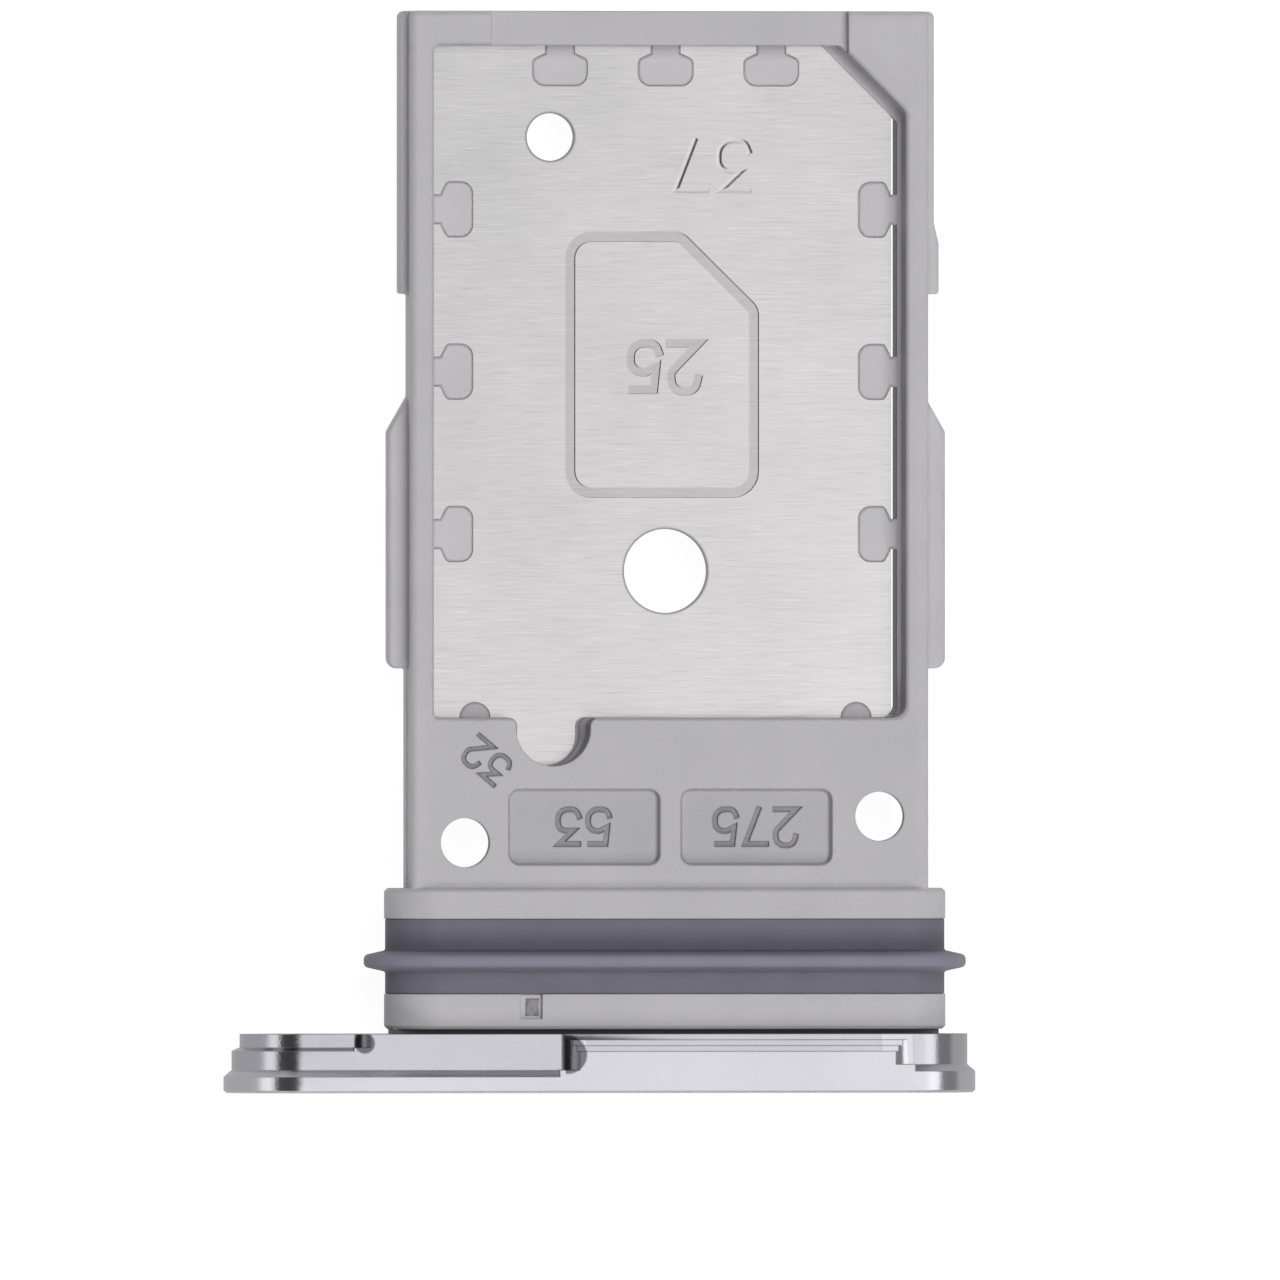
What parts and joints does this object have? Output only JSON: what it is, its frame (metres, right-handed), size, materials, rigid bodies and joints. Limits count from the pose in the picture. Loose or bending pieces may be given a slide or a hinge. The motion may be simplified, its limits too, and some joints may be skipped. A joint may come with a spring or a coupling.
{
  "type": "sim card tray",
  "caption": "Slim phone card tray: a moulded frame round a thin steel plate with a card pocket on both faces, a seal ring on its collar and a long round-ended metal head with an eject hole.",
  "frame": {"origin": "on the head's front face, where the tray's centre line meets it, halfway up the head", "axes": "+X across the tray, +Y from the head to the nose, the way the tray goes in, +Z out of the upper card pocket"},
  "size_m": [0.0141, 0.0202, 0.0028],
  "materials": {
    "frame_plastic": "fine matt moulded texture",
    "plate_steel": "brushed across the tray",
    "seal_rubber": "smooth matt silicone",
    "head_aluminium": "bead-blasted and anodised"
  },
  "bodies": {
    "root": {"tray_body": "frame_plastic", "support_plate": "plate_steel", "seal_ring": "seal_rubber", "head": "head_aluminium"}
  },
  "joints": []
}
